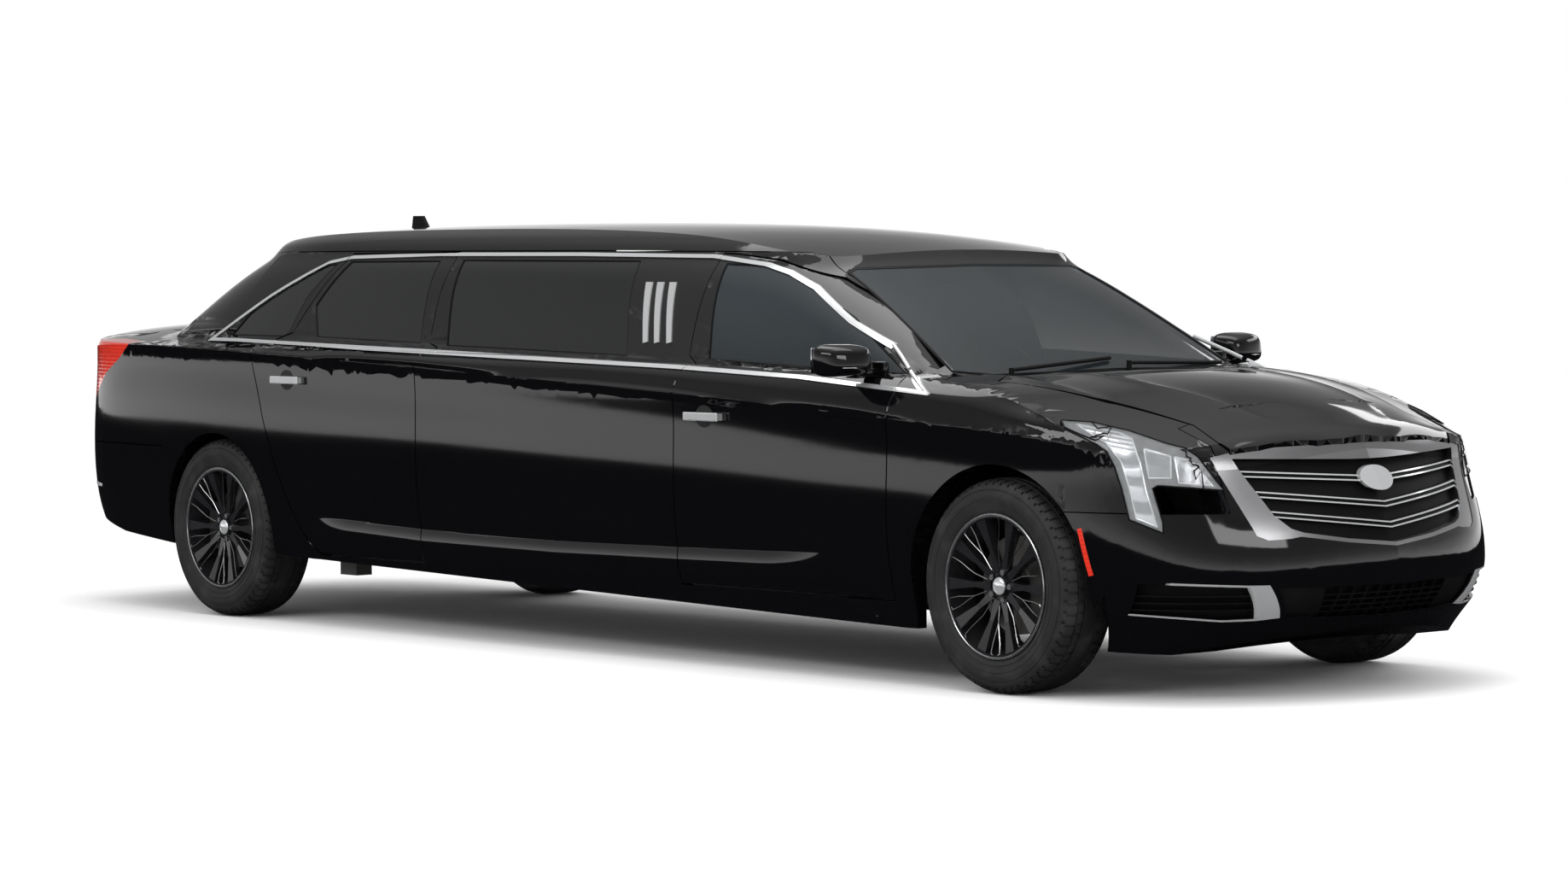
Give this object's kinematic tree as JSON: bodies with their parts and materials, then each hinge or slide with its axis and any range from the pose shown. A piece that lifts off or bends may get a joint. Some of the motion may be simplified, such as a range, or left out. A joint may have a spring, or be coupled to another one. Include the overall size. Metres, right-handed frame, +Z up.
{
  "type": "stretch limousine",
  "caption": "Black stretch limousine: long sedan body with front-hinged doors, hood, boot lid, glazed hollow cabin, steered front wheels and rolling rear wheels.",
  "frame": {"origin": "on the ground under the middle of the car", "axes": "+X forward, +Y to the car's left, +Z up"},
  "size_m": [6.9294, 2.1054, 1.6067],
  "materials": {
    "black_paint": "gloss",
    "clear_glass": "clear, light tint",
    "dark_glass": "privacy tint",
    "bright_trim": "polished",
    "satin_trim": "satin",
    "tyre_rubber": "matt",
    "rim_metal": "dark with machined edges",
    "black_plastic": "grained",
    "gloss_black": "gloss",
    "seat_leather": "soft",
    "running_steel": "bare",
    "sheet_steel": "satin underbody coat",
    "exhaust_steel": "dull",
    "lamp_clear": "clear",
    "lamp_red": "red"
  },
  "bodies": {
    "body": {"body_side_left": "black_paint", "body_side_right": "black_paint", "cross_panels": "black_paint", "front_fenders": "black_paint", "front_bumper": "black_paint", "rear_bumper": "black_paint", "roof_panel": "black_paint", "grille": "satin_trim", "lower_grilles": "black_plastic", "front_brightwork": "bright_trim", "headlamps": "lamp_clear", "lamp_bowls": "gloss_black", "lamp_lights": "bright_trim", "red_lamps": "lamp_red", "windshield": "clear_glass", "rear_window": "dark_glass", "side_glass": "dark_glass", "window_trim": "bright_trim", "antenna": "gloss_black", "wipers": "black_plastic", "floor_pan": "sheet_steel", "wheel_liners": "black_plastic", "fuel_tank": "sheet_steel", "front_suspension": "running_steel", "rear_suspension": "running_steel", "drivetrain": "running_steel", "exhaust": "exhaust_steel", "front_seats": "seat_leather", "rear_seats": "seat_leather", "dashboard": "black_plastic"},
    "hood_body": {"hood": "black_paint"},
    "boot_body": {"boot_lid": "black_paint"},
    "column_body": {"steering_wheel": "black_plastic"},
    "door_front_left_body": {"door_front_left": "black_paint", "door_glass_front_left": "clear_glass", "door_brightwork_front_left": "bright_trim", "mirror_left": "gloss_black"},
    "wheel_front_left": {"tyre_front_left": "tyre_rubber", "rim_front_left": "rim_metal"},
    "door_front_right_body": {"door_front_right": "black_paint", "door_glass_front_right": "clear_glass", "door_brightwork_front_right": "bright_trim", "mirror_right": "gloss_black"},
    "wheel_front_right": {"tyre_front_right": "tyre_rubber", "rim_front_right": "rim_metal"},
    "door_rear_left_body": {"door_rear_left": "black_paint", "door_glass_rear_left": "dark_glass", "door_brightwork_rear_left": "bright_trim"},
    "wheel_rear_left": {"tyre_rear_left": "tyre_rubber", "rim_rear_left": "rim_metal"},
    "door_rear_right_body": {"door_rear_right": "black_paint", "door_glass_rear_right": "dark_glass", "door_brightwork_rear_right": "bright_trim"},
    "wheel_rear_right": {"tyre_rear_right": "tyre_rubber", "rim_rear_right": "rim_metal"},
    "hub_left": {"knuckle_left": "running_steel"},
    "hub_right": {"knuckle_right": "running_steel"}
  },
  "joints": [
    {"name": "door_front_left_hinge", "type": "hinge", "parent": "body", "child": "door_front_left_body", "pos_m": [1.91873, 0.908, 0.658], "axis": [0, 0, -1], "range_deg": [0, 65]},
    {"name": "door_front_right_hinge", "type": "hinge", "parent": "body", "child": "door_front_right_body", "pos_m": [1.91873, -0.908, 0.658], "axis": [0, 0, 1], "range_deg": [0, 65]},
    {"name": "door_rear_left_hinge", "type": "hinge", "parent": "body", "child": "door_rear_left_body", "pos_m": [-0.77643, 0.908, 0.658], "axis": [0, 0, -1], "range_deg": [0, 65]},
    {"name": "door_rear_right_hinge", "type": "hinge", "parent": "body", "child": "door_rear_right_body", "pos_m": [-0.77643, -0.908, 0.658], "axis": [0, 0, 1], "range_deg": [0, 65]},
    {"name": "hood_hinge", "type": "hinge", "parent": "body", "child": "hood_body", "pos_m": [2.168, 0, 1.056], "axis": [0, -1, 0], "range_deg": [0, 50]},
    {"name": "boot_lid_hinge", "type": "hinge", "parent": "body", "child": "boot_body", "pos_m": [-2.999, 0, 1.186], "axis": [0, 1, 0], "range_deg": [0, 70]},
    {"name": "steer_left", "type": "hinge", "parent": "body", "child": "hub_left", "pos_m": [2.491, 0.7, 0.235], "axis": [0, -0.2295, 0.9733], "range_deg": [-32, 32]},
    {"name": "steer_right", "type": "hinge", "parent": "body", "child": "hub_right", "pos_m": [2.491, -0.7, 0.235], "axis": [0, 0.2295, 0.9733], "range_deg": [-32, 32]},
    {"name": "steering_wheel_turn", "type": "hinge", "parent": "body", "child": "column_body", "pos_m": [1.43412, 0.36, 0.87], "axis": [-0.9207, 0, 0.3903], "range_deg": [-480, 480]},
    {"name": "wheel_front_left_spin", "type": "hinge", "parent": "hub_left", "child": "wheel_front_left", "pos_m": [2.491, 0.7875, 0.358], "axis": [0, 1, 0], "continuous": true},
    {"name": "wheel_front_right_spin", "type": "hinge", "parent": "hub_right", "child": "wheel_front_right", "pos_m": [2.491, -0.7875, 0.358], "axis": [0, 1, 0], "continuous": true},
    {"name": "wheel_rear_left_spin", "type": "hinge", "parent": "body", "child": "wheel_rear_left", "pos_m": [-2.124, 0.7875, 0.358], "axis": [0, 1, 0], "continuous": true},
    {"name": "wheel_rear_right_spin", "type": "hinge", "parent": "body", "child": "wheel_rear_right", "pos_m": [-2.124, -0.7875, 0.358], "axis": [0, 1, 0], "continuous": true}
  ],
  "couplings": [
    {"joint": "steer_right", "follows": "steer_left", "ratio": 1},
    {"joint": "steering_wheel_turn", "follows": "steer_left", "ratio": 15}
  ]
}
